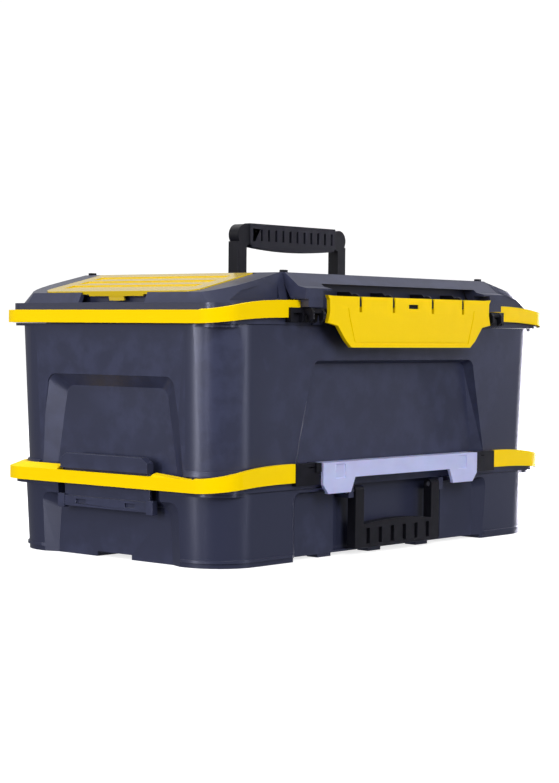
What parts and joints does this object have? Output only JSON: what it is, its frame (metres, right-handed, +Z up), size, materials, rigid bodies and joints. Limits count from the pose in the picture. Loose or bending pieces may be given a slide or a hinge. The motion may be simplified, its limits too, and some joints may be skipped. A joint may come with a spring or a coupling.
{
  "type": "two-tier toolbox",
  "caption": "Two-tier plastic toolbox: latched lower bin, deep upper box with sliding tray, flip-top organizer lid and a folding carry handle.",
  "frame": {"origin": "centre of the footprint on the surface the toolbox stands on", "axes": "+X to the right along the length, +Y to the rear hinge side, +Z up"},
  "size_m": [0.484, 0.296, 0.2952],
  "materials": {
    "body_plastic": "satin moulded polypropylene",
    "black_plastic": "satin",
    "grip_plastic": "soft satin",
    "yellow_plastic": "satin",
    "gloss_yellow": "gloss",
    "clear_plastic": "translucent satin",
    "steel_pin": "drawn wire"
  },
  "bodies": {
    "lower_bin": {"lower_tub": "body_plastic", "lower_knuckles": "body_plastic", "lower_dividers": "black_plastic", "lower_handle_pins": "steel_pin", "lower_hinge_pin": "steel_pin"},
    "front_handle": {"lower_handle": "black_plastic"},
    "lower_cover": {"lower_lid": "body_plastic", "lower_lid_knuckles": "body_plastic", "lower_rim": "yellow_plastic", "lower_latch_brackets": "black_plastic", "lower_latch_pins": "steel_pin", "side_latch_pins": "steel_pin"},
    "front_clip": {"lower_latch": "clear_plastic"},
    "side_clip_left": {"side_latch_left": "body_plastic"},
    "side_clip_right": {"side_latch_right": "body_plastic"},
    "upper_box": {"upper_tub": "body_plastic", "upper_knuckles": "body_plastic", "upper_hinge_pin": "steel_pin"},
    "sliding_tray": {"tray": "black_plastic", "tray_grip": "gloss_yellow"},
    "top_lid": {"upper_lid": "body_plastic", "upper_lid_knuckles": "body_plastic", "upper_rim": "yellow_plastic", "catch_brackets": "black_plastic", "latch_fingers": "black_plastic", "upper_latch_pin": "steel_pin", "crest_bumpers": "black_plastic", "handle_pins": "steel_pin", "organizer_hinge_rods": "steel_pin", "organizer_dividers": "black_plastic"},
    "top_latch": {"upper_latch": "yellow_plastic", "latch_window": "black_plastic"},
    "carry_handle": {"handle_bail": "black_plastic", "handle_rib_grip": "grip_plastic", "handle_palm_swell": "grip_plastic"},
    "flip_lid_left": {"organizer_lid_left": "gloss_yellow"},
    "flip_lid_right": {"organizer_lid_right": "gloss_yellow"}
  },
  "joints": [
    {"name": "lower_cover_hinge", "type": "hinge", "parent": "lower_bin", "child": "lower_cover", "pos_m": [0, 0.143, 0.062], "axis": [-1, 0, 0], "range_deg": [0, 95]},
    {"name": "front_handle_swing", "type": "hinge", "parent": "lower_bin", "child": "front_handle", "pos_m": [0, -0.129, 0.057], "axis": [-1, 0, 0], "range_deg": [0, 90]},
    {"name": "front_clip_hinge", "type": "hinge", "parent": "lower_cover", "child": "front_clip", "pos_m": [0, -0.1345, 0.0805], "axis": [-1, 0, 0], "range_deg": [0, 100]},
    {"name": "side_clip_left_rock", "type": "hinge", "parent": "lower_cover", "child": "side_clip_left", "pos_m": [-0.2345, 0, 0.069], "axis": [0, -1, 0], "range_deg": [0, 10]},
    {"name": "side_clip_right_rock", "type": "hinge", "parent": "lower_cover", "child": "side_clip_right", "pos_m": [0.2345, 0, 0.069], "axis": [0, 1, 0], "range_deg": [0, 10]},
    {"name": "upper_box_lift", "type": "slide", "parent": "lower_cover", "child": "upper_box", "axis": [0, 0, 1], "range_m": [0, 0.12]},
    {"name": "tray_slide", "type": "slide", "parent": "upper_box", "child": "sliding_tray", "axis": [1, 0, 0], "range_m": [-0.05, 0.05]},
    {"name": "top_lid_hinge", "type": "hinge", "parent": "upper_box", "child": "top_lid", "pos_m": [0, 0.143, 0.2014], "axis": [-1, 0, 0], "range_deg": [0, 100]},
    {"name": "top_latch_hinge", "type": "hinge", "parent": "top_lid", "child": "top_latch", "pos_m": [0, -0.1415, 0.2218], "axis": [-1, 0, 0], "range_deg": [0, 100]},
    {"name": "carry_handle_fold", "type": "hinge", "parent": "top_lid", "child": "carry_handle", "pos_m": [0, 0, 0.2382], "axis": [-1, 0, 0], "range_deg": [0, 90]},
    {"name": "flip_lid_left_hinge", "type": "hinge", "parent": "top_lid", "child": "flip_lid_left", "pos_m": [-0.154, 0, 0.2433], "axis": [0, 1, 0], "range_deg": [0, 100]},
    {"name": "flip_lid_right_hinge", "type": "hinge", "parent": "top_lid", "child": "flip_lid_right", "pos_m": [0.154, 0, 0.2433], "axis": [0, -1, 0], "range_deg": [0, 100]}
  ]
}
